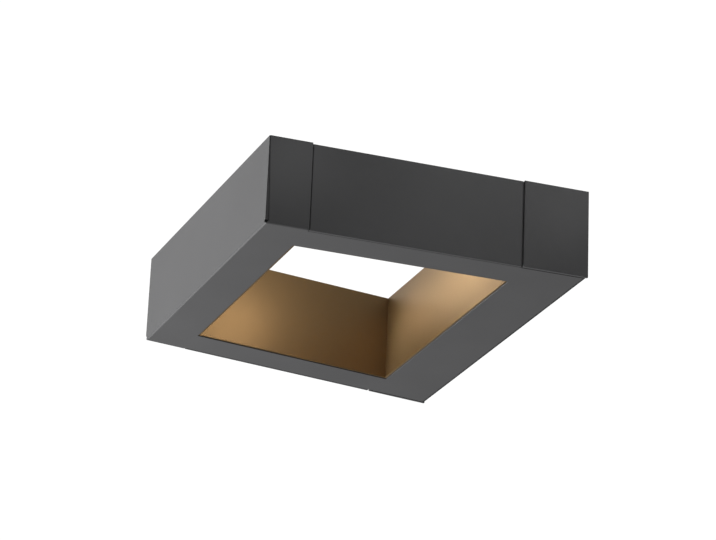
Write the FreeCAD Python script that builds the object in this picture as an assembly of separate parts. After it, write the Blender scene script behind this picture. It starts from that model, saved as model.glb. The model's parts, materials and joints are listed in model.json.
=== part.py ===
import FreeCAD, Part
import math
import os

# Wall light, millimetres. The wall is the plane y = 0, the lamp reaches towards -Y, and +Z is up.
# The origin is the middle of the wall bracket's screw pattern, on the wall.

# Outer form
projection = 200.0
wall_side_width = 238.4
front_side_width = 205.0
body_height = 56.1
front_beam_depth = 27.9
wall_box_depth = 40.5
arm_width = 26.3
front_cheek_length = 26.6
rear_cheek_length = 41.2

# Sheets and channels
tray_sheet = 1.5
top_sheet = 1.5
cover_sheet = 1.5
channel_wall = 2.0
gold_sheet = 1.0
channel_flange = 13.0
bend_radius = 1.2
rim_bevel = 0.3

# Gaps that show as fine lines
cover_recess = 0.3
cover_top_drop = 0.6
ring_joint = 0.3
cover_joint = 0.5
cheek_joint = 0.9
gold_joint = 0.3
gold_rim_drop = 0.2
gold_foot_gap = 0.5
front_seam = 0.5
rear_seam = 1.1
corner_face_gap = 0.1
corner_cheek_gap = 0.2
corner_spread = 1.4
corner_depth = 0.5
relief_radius = 1.1
wall_gap = 0.1

# Lips that hold the covers and cheeks
lip_sheet = 1.5
lip_reach = 12.0
lip_end_gap = 2.0
tongue_sheet = 1.0
tongue_root = 4.0
tongue_reach = 3.0
tongue_gap = 0.1

# Seal against the wall
seal_thickness = 2.0
seal_edge_drop = 0.4
seal_side_gap = 0.2
seal_side_width = 4.0

# Wall bracket
bracket_width = 150.0
bracket_sheet = 2.0
bracket_flange = 14.0
bracket_corner = 4.0
bracket_bend = 1.5
clamp_travel = 0.75
slide_clearance = 0.05
wall_screw_spacing = 100.0
wall_slot_width = 5.0
wall_slot_length = 12.0

# Cable grommet in the bracket
grommet_body_radius = 7.0
grommet_flange_radius = 9.5
grommet_flange_thickness = 2.0
cable_bore_radius = 3.5
grommet_round = 0.6

# Locking screws, M4 set screws with a hex socket
locking_radius = 2.0
locking_length = 4.0
locking_tip_gap = 0.05
locking_spacing = 120.0
locking_set_back = 7.0
locking_socket_across = 2.0
locking_socket_depth = 1.8
locking_chamfer = 0.35
top_hole_clearance = 0.4

# Countersunk screws of the top plate, M3
plate_screw_radius = 1.5
plate_screw_head_radius = 2.8
plate_screw_head_depth = 1.3
plate_screw_length = 4.0
plate_screw_sink = 0.1
plate_screw_shares = (0.15, 0.5, 0.85)
rail_screw_share = 0.33
housing_screw_share = 0.33
cover_screw_shares = (0.25, 0.75)

# Pan head screws, M3 and M2.5
screw_radius = 1.5
small_screw_radius = 1.25
screw_fit = 0.05
head_radius_share = 1.85
head_height_share = 1.1
head_chamfer_share = 0.33
recess_length_share = 0.6
recess_width_share = 0.16
recess_depth_share = 0.5

# Arm screws and tabs
tab_thickness = 2.0
tab_height = 14.0
tab_reach = 10.0
arm_screw_web_gap = 6.3
arm_screw_drop = 9.2

# Light engine in the front beam
window_end_margin = 18.4
window_height = 20.0
thermal_pad_thickness = 0.5
thermal_pad_margin = 1.0
spreader_end_margin = 10.0
spreader_height = 24.0
spreader_depth = 4.0
spreader_fin_height = 8.0
spreader_fin_sheet = 2.0
board_thickness = 1.6
board_height = 18.0
board_end_margin = 1.0
led_count = 12
led_size = 3.5
led_thickness = 0.8
led_row_share = 0.9
tray_wall = 2.0
light_tray_height = 22.0
light_tray_side_room = 2.0
diffuser_flange = 3.0
diffuser_nose_gap = 0.15
diffuser_recess = 0.3
diffuser_edge = 3.0
gasket_thickness = 0.8
gasket_width = 2.0
board_screw_margin = 4.0
board_screw_rise = 5.5
board_screw_length = 4.5

# LED driver in the wall box
driver_length = 80.0
driver_bush_gap = 8.5
driver_depth = 22.0
driver_height = 28.0
driver_wall = 1.5
driver_lid = 1.5
driver_corner = 2.0
driver_tab = 6.0
driver_tab_sheet = 2.0
driver_tab_height = 16.0
driver_board_sheet = 1.6
driver_board_gap = 0.3
driver_standoff = 3.0
driver_board_end_gap = 1.5
driver_row_shares = (0.3, 0.7)
capacitor_share = -0.3
component_gap = 2.0
transformer_length = 18.0
transformer_depth = 11.0
transformer_end_gap = 1.5
capacitor_radius = 4.0
capacitor_edge_gap = 2.7
capacitor_length = 11.0
choke_radius = 5.0
choke_edge_gap = 0.7
choke_height = 8.0
choke_bore_share = 0.33

# Terminal block with three release buttons
terminal_pitch = 10.0
terminal_poles = 3
terminal_gap = 2.0
terminal_depth = 16.0
terminal_height = 18.0
terminal_end_wall = 0.6
terminal_corner = 0.8
terminal_ear = 6.4
terminal_ear_sheet = 2.0
terminal_ear_height = 8.0
entry_radius = 1.6
entry_depth = 5.0
entry_set_in = 6.5
entry_margin = 0.15
button_width = 5.0
button_height = 4.0
button_length = 6.0
button_proud = 1.8
button_travel = 1.5
button_gap = 0.25
button_floor_gap = 0.3
button_round = 0.6

# Cord clamp
clamp_side_gap = 1.0
clamp_floor_gap = 0.7
clamp_width = 10.0
clamp_depth = 9.5
clamp_height = 20.0
clamp_channel_radius = 3.8
clamp_channel_set_out = 4.0
clamp_screw_spacing = 14.0
clamp_round = 1.0

# Earth tag and screw
earth_gap = 5.0
earth_z = -6.0
earth_tag_radius = 4.0
earth_tag_sheet = 0.8
earth_neck_width = 3.2
earth_neck_length = 6.0
earth_barrel_radius = 1.6
earth_barrel_length = 6.0
earth_screw_radius = 2.0
earth_screw_length = 2.0

# Leads and what guides them
lead_radius = 0.9
lead_pitch = 3.0
bush_hole_radius = 4.0
bush_bore_radius = 2.9
bush_lip = 1.2
bush_lip_sheet = 1.0
housing_bush_web_gap = 5.8
arm_bush_set_back = 12.2
clip_length = 6.0
clip_height = 9.0
clip_reach = 6.7
clip_slot_reach = 5.4
clip_slot_web_gap = 1.7
clip_slot_height = 5.4
clip_shares = (0.22, 0.52)
lead_arc_share = 0.45
lead_run_shares = (0.05, 0.3, 0.55, 0.77)
lead_web_gaps = (5.4, 3.3, 3.8, 11.7)
lead_approach_run = 15.8
lead_approach_rise = 1.7
lead_turn_reach = 4.6
lead_turn_dip = 1.1
lead_pad_overlap = 1.3
mains_lead_drops = (6.2, 4.2)
mains_lead_spans = (15.0, 23.0)
mains_lead_turns = (12.5, 13.5)
mains_lead_sag = 2.0
mains_lead_clamp_gap = 3.5
earth_lead_drop = 4.2
earth_lead_step = 10.0
earth_lead_climb = 2.0
earth_lead_dip = 1.5
earth_lead_end_gap = 0.3

# How far cuts run past what they cut, and the cosine above which two directions count as one
overrun = 1.0
parallel_share = 0.9

# Worked out from the sizes above
half_height = body_height / 2
taper = (wall_side_width - front_side_width) / 2 / projection
side_angle = math.atan(taper)
side_cos = math.cos(side_angle)
side_sin = math.sin(side_angle)
side_wall = cover_recess + cover_sheet
ring_inset = side_wall + ring_joint
gold_back_inset = arm_width - gold_sheet
opening_inset = gold_back_inset - gold_joint
web_inset = gold_back_inset - channel_wall
front_face_y = -projection
front_skin_y = front_face_y + tray_sheet
front_seam_y = front_face_y + front_cheek_length * side_cos
rear_seam_y = -rear_cheek_length * side_cos
gold_rear_y = -wall_box_depth
housing_front_y = gold_rear_y + gold_sheet
housing_web_y = housing_front_y + channel_wall
gold_front_y = front_face_y + front_beam_depth
rail_back_y = gold_front_y - gold_sheet
rail_web_y = rail_back_y - channel_wall
shell_rear_y = -seal_thickness
flange_depth_top = top_sheet + channel_wall
flange_depth_bottom = tray_sheet + channel_wall
lip_depth_top = flange_depth_top + lip_sheet
lip_depth_bottom = flange_depth_bottom + lip_sheet
bracket_top = half_height - flange_depth_top - clamp_travel
bracket_bottom = -half_height + flange_depth_bottom + slide_clearance
bottom = -half_height
top = half_height
SIDES = {"left": -1, "right": 1}
AXIS_X = FreeCAD.Vector(1, 0, 0)
AXIS_Y = FreeCAD.Vector(0, 1, 0)
AXIS_Z = FreeCAD.Vector(0, 0, 1)


# Shapes in plan

def half_width(y, inset):
    """Half the body's width at y, measured inwards from the slanted side face."""
    return wall_side_width / 2 + y * taper - inset / side_cos


# Places along the front beam and the wall box

window_length = 2 * (half_width(gold_front_y, arm_width) - window_end_margin)
spreader_length = window_length + 2 * spreader_end_margin
board_screw_spacing = window_length + 2 * board_screw_margin
arm_screw_inset = web_inset - arm_screw_web_gap
housing_bush_inset = web_inset - housing_bush_web_gap
terminal_length = terminal_pitch * terminal_poles + 2 * (terminal_end_wall + terminal_ear)
driver_start = driver_bush_gap - half_width(housing_web_y, housing_bush_inset) + driver_tab
driver_centre = driver_start + driver_length / 2
clamp_centre_x = driver_start + driver_length + driver_tab + clamp_side_gap + clamp_width / 2
clamp_centre_z = bottom + flange_depth_bottom + clamp_floor_gap + clamp_height / 2
terminal_centre = clamp_centre_x + clamp_width / 2 + terminal_gap + terminal_length / 2
earth_x = terminal_centre + terminal_length / 2 + earth_gap + earth_tag_radius


def side_place(side, y, inset, z):
    return FreeCAD.Vector(side * half_width(y, inset), y, z)


def prism(points, z_a, z_b):
    low = min(z_a, z_b)
    corners = [FreeCAD.Vector(x, y, low) for x, y in points]
    face = Part.Face(Part.makePolygon(corners + corners[:1]))
    return face.extrude(FreeCAD.Vector(0, 0, abs(z_b - z_a)))


def across(y_a, y_b, inset, z_a, z_b):
    """A slab across the body, with its ends parallel to the slanted sides."""
    near = half_width(y_a, inset)
    far = half_width(y_b, inset)
    return prism([(-near, y_a), (near, y_a), (far, y_b), (-far, y_b)], z_a, z_b)


def strip(side, y_a, y_b, inset_a, inset_b, z_a, z_b):
    """A slab along one slanted side, between two insets from its face."""
    points = [(y_a, inset_a), (y_b, inset_a), (y_b, inset_b), (y_a, inset_b)]
    return prism([(side * half_width(y, inset), y) for y, inset in points], z_a, z_b)


def block(x_a, x_b, y_a, y_b, z_a, z_b):
    size = (abs(x_b - x_a), abs(y_b - y_a), abs(z_b - z_a))
    return Part.makeBox(*size, FreeCAD.Vector(min(x_a, x_b), min(y_a, y_b), min(z_a, z_b)))


def rod(radius, start, direction, length):
    return Part.makeCylinder(radius, length, start, direction)


def joined(pieces):
    return pieces[0].fuse(pieces[1:]).removeSplitter()


def rounded(shape, radius, wanted):
    """Rounds the edges whose middle and direction the test accepts."""
    edges = []
    for edge in shape.Edges:
        ends = edge.Vertexes
        if len(ends) == 2:
            middle = (ends[0].Point + ends[1].Point) * 0.5
            along = (ends[1].Point - ends[0].Point).normalize()
            if wanted(middle, along):
                edges.append(edge)
    return shape.makeFillet(radius, edges)


def runs_along(along, axis):
    return abs(along.dot(axis)) > parallel_share


def level(up, depth):
    """The height that lies a depth inside the top (1) or the underside (-1)."""
    return up * (half_height - depth)


def cross_recess(radius, height, place, outward):
    """Two crossed slots in a screw's head, whose outer face is at the place."""
    length = radius * recess_length_share * 2
    width = radius * recess_width_share * 2
    depth = height * recess_depth_share
    slots = []
    for size in ((length, width), (width, length)):
        slot = Part.makeBox(size[0], size[1], depth + overrun)
        slot.translate(FreeCAD.Vector(-size[0] / 2, -size[1] / 2, -depth))
        slots.append(slot)
    cutter = joined(slots)
    turned = FreeCAD.Placement(place, FreeCAD.Rotation(AXIS_Z, outward))
    cutter.Placement = turned.multiply(cutter.Placement)
    return cutter


def pan_screw(seat, outward, radius, length):
    """A pan head screw: its head stands on the seat, its shank runs the other way."""
    head_radius = radius * head_radius_share
    head_height = radius * head_height_share
    head = rod(head_radius, seat, outward, head_height)
    rims = [edge for edge in head.Edges if outer_rim(edge, seat, outward)]
    head = head.makeChamfer(head_height * head_chamfer_share, rims)
    head = head.cut(cross_recess(head_radius, head_height, seat + outward * head_height, outward))
    shank = rod(radius - screw_fit, seat, -outward, length)
    return head.fuse(shank)


def outer_rim(edge, seat, outward):
    if not isinstance(edge.Curve, Part.Circle):
        return False
    return (edge.Curve.Center - seat).dot(outward) > screw_fit


def tube_along(points, radius):
    """A tube along straight runs that are joined by tangent arcs."""
    edges = []
    start = points[0]
    radii = []
    for before, corner, after in zip(points, points[1:], points[2:]):
        entering = (corner - before).normalize()
        leaving = (after - corner).normalize()
        turn = entering.getAngle(leaving)
        shorter = min((corner - before).Length, (after - corner).Length)
        reach = lead_arc_share * shorter
        radii.append(reach / math.tan(turn / 2))
        arc_start = corner - entering * reach
        arc_end = corner + leaving * reach
        pull = (arc_start + arc_end) * 0.5 - corner
        centre = corner + pull.normalize() * (radii[-1] / math.cos(turn / 2))
        arc_middle = centre + (corner - centre).normalize() * radii[-1]
        edges.append(Part.LineSegment(start, arc_start).toShape())
        edges.append(Part.Arc(arc_start, arc_middle, arc_end).toShape())
        start = arc_end
    edges.append(Part.LineSegment(start, points[-1]).toShape())
    path = Part.Wire(edges)
    section = Part.Wire(Part.makeCircle(radius, points[0], (points[1] - points[0]).normalize()))
    tube = path.makePipeShell([section], True, True)
    print("lead radii", [round(value, 1) for value in radii], "length", round(path.Length, 1))
    print("volume share", round(tube.Volume / (math.pi * radius ** 2 * path.Length), 4))
    return tube


# Holes that several pieces share

def plate_screw_places():
    places = []
    for side in SIDES.values():
        for share in plate_screw_shares:
            y = gold_rear_y + share * (gold_front_y - gold_rear_y)
            places.append(side_place(side, y, (lip_reach + web_inset) / 2, top))
        rail_x = side * rail_screw_share * window_length
        places.append(FreeCAD.Vector(rail_x, rail_web_y - channel_flange / 2, top))
        housing_x = side * housing_screw_share * bracket_width
        places.append(FreeCAD.Vector(housing_x, housing_web_y + channel_flange, top))
    return places


def locking_places():
    return {side: FreeCAD.Vector(SIDES[side] * locking_spacing / 2, -locking_set_back, 0) for side in SIDES}


def lip_screw_places(side):
    """Where the screws of one side's rear cheek and arm cover stand, in plan."""
    inset = (side_wall + lip_reach) / 2
    cheek_y = (housing_web_y + shell_rear_y) / 2
    places = [side_place(side, cheek_y, inset, 0)]
    for share in cover_screw_shares:
        y = rear_seam_y + share * (front_seam_y - rear_seam_y)
        places.append(side_place(side, y, inset, 0))
    return places


def arm_screw_places(side):
    heights = [level(up, flange_depth_top + arm_screw_drop) for up in (1, -1)]
    return [side_place(side, housing_web_y, arm_screw_inset, z) for z in heights]


def drill_flanges(shape, side, first, last):
    """Cuts the threaded holes for the lip screws into a channel's flanges."""
    for place in lip_screw_places(side)[first:last]:
        for up in (1, -1):
            start = place + AXIS_Z * level(up, -overrun)
            shape = shape.cut(rod(screw_radius, start, AXIS_Z * -up, flange_depth_top + 2 * overrun))
    return shape


def drill_top_flange(shape):
    for place in plate_screw_places():
        hole = rod(plate_screw_radius + screw_fit, place, -AXIS_Z, flange_depth_top + overrun)
        shape = shape.cut(hole)
    return shape


# Outer skin

def face_tray():
    ring_front = across(front_seam_y, front_face_y, 0, bottom, bottom + tray_sheet)
    ring_arms = across(rear_seam_y, front_seam_y, side_wall + cover_joint, bottom, bottom + tray_sheet)
    ring_rear = across(shell_rear_y, rear_seam_y, side_wall + cheek_joint, bottom, bottom + tray_sheet)
    front_wall = across(front_skin_y, front_face_y, 0, bottom, top)
    cheeks = [strip(side, front_seam_y, front_face_y, 0, tray_sheet, bottom, top) for side in SIDES.values()]
    tray = joined([ring_front, ring_arms, ring_rear, front_wall, *cheeks])
    tray = rounded(tray, bend_radius, on_outer_bend)
    tray = tray.cut(ring_opening(bottom, tray_sheet))
    for side in SIDES.values():
        tray = tray.cut(corner_groove(side))
        tray = tray.cut(corner_relief(side))
    return tray


def ring_opening(low, thickness):
    """The opening in a skin sheet, just behind the gold panels."""
    rear = housing_front_y + gold_joint
    front = rail_back_y - gold_joint
    return across(rear, front, opening_inset, low - overrun, low + thickness + overrun)


def on_outer_bend(middle, along):
    low = abs(middle.z - bottom) < rim_bevel
    on_front = abs(middle.y - front_face_y) < rim_bevel
    on_cheek = abs(abs(middle.x) - half_width(middle.y, 0)) < rim_bevel and middle.y < front_seam_y
    return low and not runs_along(along, AXIS_Z) and (on_front or on_cheek)


def corner_groove(side):
    """The mitred groove between the front face and a cheek, widest at its foot, as the cheek's edge leans."""
    corner = side_place(side, front_face_y, 0, 0)
    inward = FreeCAD.Vector(-side * side_cos, side_sin, 0) + AXIS_Y
    reach = (tray_sheet + overrun) * 2
    near = side * corner_face_gap
    far = -side * corner_cheek_gap
    foot = bottom + tray_sheet
    outline = [(near, foot), (near, top + overrun), (far, top + overrun), (far - side * corner_spread, foot)]
    corners = [FreeCAD.Vector(-reach, y, z) for y, z in outline]
    groove = Part.Face(Part.makePolygon(corners + corners[:1])).extrude(AXIS_X * (reach * 2))
    groove.Placement = FreeCAD.Placement(corner, FreeCAD.Rotation(AXIS_X, inward))
    floor_y = front_face_y + corner_depth
    weld = strip(side, floor_y, floor_y + reach, corner_depth, corner_depth + reach, foot - overrun, top)
    return groove.cut(weld)


def corner_relief(side):
    """The round bend relief at the foot of the groove."""
    corner = side_place(side, front_face_y, 0, bottom + tray_sheet)
    inward = (FreeCAD.Vector(-side * side_cos, side_sin, 0) + AXIS_Y).normalize()
    return rod(relief_radius, corner - inward * overrun, inward, (tray_sheet + overrun) * 2)


def top_plate():
    plate = across(shell_rear_y, front_skin_y + ring_joint, ring_inset, top - top_sheet, top)
    plate = plate.cut(ring_opening(top - top_sheet, top_sheet))
    for place in plate_screw_places():
        plate = plate.cut(countersink(place, screw_fit))
    for place in locking_places().values():
        start = place + AXIS_Z * (top - top_sheet - overrun)
        plate = plate.cut(rod(locking_radius + top_hole_clearance, start, AXIS_Z, top_sheet + 2 * overrun))
    return plate


def countersink(place, margin):
    """A countersunk screw's outline, from its sunk top face down."""
    head = Part.makeCone(plate_screw_head_radius + margin, plate_screw_radius + margin,
                         plate_screw_head_depth, place - AXIS_Z * plate_screw_sink, -AXIS_Z)
    mouth = rod(plate_screw_head_radius + margin, place - AXIS_Z * plate_screw_sink, AXIS_Z, overrun)
    shank = rod(plate_screw_radius + margin, place - AXIS_Z * plate_screw_sink, -AXIS_Z, flange_depth_top)
    return joined([head, mouth, shank])


def lips(side, y_a, y_b):
    pieces = []
    for up, near, far in ((1, flange_depth_top, lip_depth_top), (-1, flange_depth_bottom, lip_depth_bottom)):
        near_z = level(up, near)
        far_z = level(up, far)
        pieces.append(strip(side, y_a, y_b, side_wall - cover_sheet / 2, lip_reach, near_z, far_z))
    return pieces


def drill_lips(shape, side, first, last):
    for place in lip_screw_places(side)[first:last]:
        for up in (1, -1):
            start = place + AXIS_Z * level(up, flange_depth_top - overrun)
            shape = shape.cut(rod(screw_radius + screw_fit, start, AXIS_Z * -up, lip_sheet + 2 * overrun))
    return shape


def arm_cover(side):
    front = front_seam_y + front_seam
    rear = rear_seam_y - rear_seam
    sheet = strip(side, rear, front, cover_recess, side_wall, bottom, top - cover_top_drop)
    sheet = bevelled(sheet, side, cover_recess)
    lip_pair = lips(side, rear - lip_end_gap, front + lip_end_gap)
    tongues = seam_tongue(side, front + tongue_root, front, front_seam_y - tongue_reach)
    tongues += seam_tongue(side, rear - tongue_root, rear, housing_front_y - tongue_gap)
    return drill_lips(joined([sheet, *lip_pair, *tongues]), side, 1, 3)


def seam_tongue(side, y_root, y_end, y_tip):
    """What closes a seam from behind: a tongue on the cover's end that reaches behind the next sheet."""
    near = side_wall + tongue_gap
    far = near + tongue_sheet
    high = level(1, flange_depth_top + tongue_gap)
    low = level(-1, flange_depth_bottom + tongue_gap)
    root = strip(side, y_root, y_end, side_wall - cover_sheet / 2, far, low, high)
    return [root, strip(side, y_end, y_tip, near, far, low, high)]


def rear_cheek(side):
    sheet = strip(side, -wall_gap, rear_seam_y, 0, side_wall, bottom, top)
    sheet = bevelled(sheet, side, 0)
    lip_pair = lips(side, shell_rear_y - lip_end_gap, housing_web_y + wall_gap)
    return drill_lips(joined([sheet, *lip_pair]), side, 0, 1)


def bevelled(sheet, side, inset):
    """Takes the sharp edge off the outer rim of a side sheet, all round."""
    edges = []
    for edge in sheet.Edges:
        middle = (edge.Vertexes[0].Point + edge.Vertexes[1].Point) * 0.5
        if abs(side * middle.x - half_width(middle.y, inset)) < rim_bevel / 2:
            edges.append(edge)
    return sheet.makeChamfer(rim_bevel, edges)


def gold_panel(name):
    low = bottom + gold_foot_gap
    high = top - gold_rim_drop
    if name == "rear":
        return across(housing_front_y, gold_rear_y, gold_back_inset, low, high)
    if name == "front":
        panel = across(gold_front_y, rail_back_y, gold_back_inset, low, high)
        return panel.cut(window(0, gold_front_y + overrun, rail_back_y - overrun))
    return strip(SIDES[name], gold_rear_y, gold_front_y, gold_back_inset, arm_width, low, high)


def window(margin, y_a, y_b):
    """The lit slot in the front beam's inner face, widened by a margin."""
    length = window_length / 2 + margin
    height = window_height / 2 + margin
    return block(-length, length, y_a, y_b, -height, height)


# Frame under the skin

def wall_housing():
    web = across(housing_web_y, housing_front_y, side_wall, bottom + tray_sheet, top - top_sheet)
    upper = across(shell_rear_y, housing_front_y, side_wall, top - flange_depth_top, top - top_sheet)
    lower = across(shell_rear_y, housing_front_y, side_wall, bottom + tray_sheet,
                   bottom + flange_depth_bottom)
    housing = joined([web, upper, lower])
    housing = drill_top_flange(housing)
    for side in SIDES.values():
        housing = drill_flanges(housing, side, 0, 1)
        for place in arm_screw_places(side):
            start = place + AXIS_Y * overrun
            housing = housing.cut(rod(screw_radius, start, -AXIS_Y, channel_wall + 2 * overrun))
    housing = housing.cut(bush_hole_in_housing())
    for place in locking_places().values():
        start = place + AXIS_Z * (top - flange_depth_top - overrun)
        housing = housing.cut(rod(locking_radius + screw_fit, start, AXIS_Z, channel_wall + 2 * overrun))
    for place, radius in web_screw_places():
        start = place + AXIS_Y * overrun
        housing = housing.cut(rod(radius, start, -AXIS_Y, channel_wall + overrun))
    return housing


def web_screw_places():
    """Every screw that holds the electrics, where it enters the housing's web, and its radius."""
    places = []
    for x in (*driver_screw_spots(), *terminal_screw_spots()):
        places.append((FreeCAD.Vector(x, housing_web_y, 0), screw_radius))
    for up in (1, -1):
        z = clamp_centre_z + up * clamp_screw_spacing / 2
        places.append((FreeCAD.Vector(clamp_centre_x, housing_web_y, z), screw_radius))
    places.append((FreeCAD.Vector(earth_x, housing_web_y, earth_z), earth_screw_radius))
    return places


def bush_hole_in_housing():
    place = side_place(-1, housing_web_y, housing_bush_inset, 0)
    return rod(bush_hole_radius, place + AXIS_Y * overrun, -AXIS_Y, channel_wall + 2 * overrun)


def arm_bush_axis():
    """Start and direction of the hole where the leads enter the front beam."""
    y = front_skin_y + arm_bush_set_back
    outward = FreeCAD.Vector(-side_cos, -side_sin, 0)
    return side_place(-1, y, gold_back_inset, 0), outward


def arm_channel(side):
    web = strip(side, housing_front_y, front_skin_y, web_inset, gold_back_inset,
                bottom + tray_sheet, top - top_sheet)
    upper = strip(side, housing_front_y, front_skin_y, side_wall, gold_back_inset,
                  top - flange_depth_top, top - top_sheet)
    lower = strip(side, housing_front_y, front_skin_y, side_wall, gold_back_inset,
                  bottom + tray_sheet, bottom + flange_depth_bottom)
    tabs = []
    for up in (1, -1):
        near_z = level(up, flange_depth_top)
        far_z = level(up, flange_depth_top + tab_height)
        tabs.append(strip(side, housing_front_y, housing_front_y - tab_thickness, web_inset - tab_reach,
                          gold_back_inset, near_z, far_z))
    channel = joined([web, upper, lower, *tabs])
    channel = drill_top_flange(channel)
    channel = drill_flanges(channel, side, 1, 3)
    for place in arm_screw_places(side):
        channel = channel.cut(rod(screw_radius, place, -AXIS_Y, channel_wall + tab_thickness + overrun))
    if side < 0:
        place, outward = arm_bush_axis()
        start = place - outward * overrun
        channel = channel.cut(rod(bush_hole_radius, start, outward, channel_wall + 2 * overrun))
    return channel


def front_rail():
    web = across(rail_back_y, rail_web_y, gold_back_inset, bottom + tray_sheet, top - top_sheet)
    pieces = [web]
    heights = ((top - flange_depth_top, top - top_sheet), (bottom + tray_sheet, bottom + flange_depth_bottom))
    for z_a, z_b in heights:
        pieces.append(across(rail_back_y, rail_web_y - channel_flange, gold_back_inset, z_a, z_b))
    rail = drill_top_flange(joined(pieces))
    return rail.cut(window(diffuser_nose_gap, rail_back_y + overrun, rail_web_y - overrun))


# Light engine, from the front wall towards the opening

pad_y = front_skin_y + thermal_pad_thickness
spreader_y = pad_y + spreader_depth
board_y = spreader_y + board_thickness
gasket_y = rail_web_y - gasket_thickness
diffuser_y = gasket_y - diffuser_flange


def thermal_pad():
    length = spreader_length / 2 - thermal_pad_margin
    height = spreader_height / 2 - thermal_pad_margin
    return block(-length, length, front_skin_y, pad_y, -height, height)


def heat_spreader():
    half_length = spreader_length / 2
    half_spread = spreader_height / 2
    pieces = [block(-half_length, half_length, pad_y, spreader_y, -half_spread, half_spread)]
    for up in (1, -1):
        edge = up * half_spread
        fin = block(-half_length, half_length, pad_y, spreader_y + spreader_fin_height, edge,
                    edge - up * spreader_fin_sheet)
        pieces.append(fin)
    spreader = joined(pieces)
    for place in board_screw_places():
        start = place + AXIS_Y * overrun
        spreader = spreader.cut(rod(small_screw_radius, start, -AXIS_Y, board_thickness + board_screw_length))
    return spreader


def board_screw_places():
    places = []
    for side in SIDES.values():
        for up in (1, -1):
            places.append(FreeCAD.Vector(side * board_screw_spacing / 2, board_y, up * board_screw_rise))
    return places


def led_board():
    half_length = spreader_length / 2 - board_end_margin
    board = block(-half_length, half_length, spreader_y, board_y, -board_height / 2, board_height / 2)
    for place in board_screw_places():
        start = place + AXIS_Y * overrun
        board = board.cut(rod(small_screw_radius + screw_fit, start, -AXIS_Y, board_thickness + 2 * overrun))
    return board


def led_chips():
    chips = []
    row = window_length * led_row_share
    for index in range(led_count):
        x = -row / 2 + row * index / (led_count - 1)
        chips.append(block(x - led_size / 2, x + led_size / 2, board_y, board_y + led_thickness,
                           -led_size / 2, led_size / 2))
    return Part.makeCompound(chips)


def light_tray():
    outer = window_length / 2
    height = light_tray_height / 2 - light_tray_side_room
    body = block(-outer, outer, board_y, diffuser_y, -height, height)
    inner_low = height - tray_wall
    return body.cut(block(tray_wall - outer, outer - tray_wall, board_y - overrun, diffuser_y + overrun,
                          -inner_low, inner_low))


def diffuser():
    half_length = window_length / 2 + diffuser_edge
    half_tall = window_height / 2 + diffuser_edge
    flange = block(-half_length, half_length, diffuser_y, gasket_y, -half_tall, half_tall)
    nose = window(-diffuser_nose_gap, gasket_y, gold_front_y - diffuser_recess)
    lens = joined([flange, nose])

    def nose_rim(middle, along):
        return abs(middle.y - (gold_front_y - diffuser_recess)) < rim_bevel / 2
    return rounded(lens, rim_bevel, nose_rim)


def diffuser_gasket():
    half_length = window_length / 2 + diffuser_edge
    half_tall = window_height / 2 + diffuser_edge
    outer = block(-half_length, half_length, gasket_y, rail_web_y, -half_tall, half_tall)
    half_length = half_length - gasket_width
    half_tall = half_tall - gasket_width
    return outer.cut(block(-half_length, half_length, gasket_y - overrun, rail_web_y + overrun,
                           -half_tall, half_tall))


# Wall side

def wall_seal():
    outer = across(shell_rear_y, 0, side_wall + seal_side_gap, bottom + seal_edge_drop, top - seal_edge_drop)
    inner_inset = side_wall + seal_side_gap + seal_side_width
    inner = across(shell_rear_y - overrun, overrun, inner_inset, bottom + flange_depth_bottom,
                   top - flange_depth_top)
    return outer.cut(inner)


def wall_bracket():
    half = bracket_width / 2
    pieces = [block(-half, half, -bracket_sheet, 0, bracket_bottom, bracket_top)]
    pieces.append(block(-half, half, -bracket_flange, 0, bracket_top, bracket_top - bracket_sheet))
    pieces.append(block(-half, half, -bracket_flange, 0, bracket_bottom, bracket_bottom + bracket_sheet))
    bracket = joined(pieces)

    def flange_corner(middle, along):
        return runs_along(along, AXIS_Z) and abs(middle.y + bracket_flange) < overrun
    bracket = rounded(bracket, bracket_corner, flange_corner)

    def outer_bend(middle, along):
        at_end = min(abs(middle.z - bracket_top), abs(middle.z - bracket_bottom)) < slide_clearance
        return runs_along(along, AXIS_X) and abs(middle.y) < slide_clearance and at_end
    bracket = rounded(bracket, bracket_bend, outer_bend)
    bracket = bracket.cut(rod(grommet_body_radius, AXIS_Y * overrun, -AXIS_Y, bracket_sheet + 2 * overrun))
    for side in (-1, 1):
        bracket = bracket.cut(wall_slot(side * wall_screw_spacing / 2))
    return bracket


def wall_slot(x):
    radius = wall_slot_width / 2
    reach = wall_slot_length / 2 - radius
    pieces = [block(x - reach, x + reach, overrun, -bracket_sheet - overrun, -radius, radius)]
    for end in (-reach, reach):
        pieces.append(rod(radius, FreeCAD.Vector(x + end, overrun, 0), -AXIS_Y, bracket_sheet + 2 * overrun))
    return joined(pieces)


def cable_grommet():
    origin = FreeCAD.Vector(0, 0, 0)
    body = rod(grommet_body_radius, origin, -AXIS_Y, bracket_sheet)
    flange = rod(grommet_flange_radius, -AXIS_Y * bracket_sheet, -AXIS_Y, grommet_flange_thickness)
    rims = [edge for edge in flange.Edges if outer_rim(edge, -AXIS_Y * bracket_sheet, -AXIS_Y)]
    flange = flange.makeFillet(grommet_round, rims)
    grommet = joined([body, flange])
    length = bracket_sheet + grommet_flange_thickness + 2 * overrun
    return grommet.cut(rod(cable_bore_radius, AXIS_Y * overrun, -AXIS_Y, length))


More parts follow.
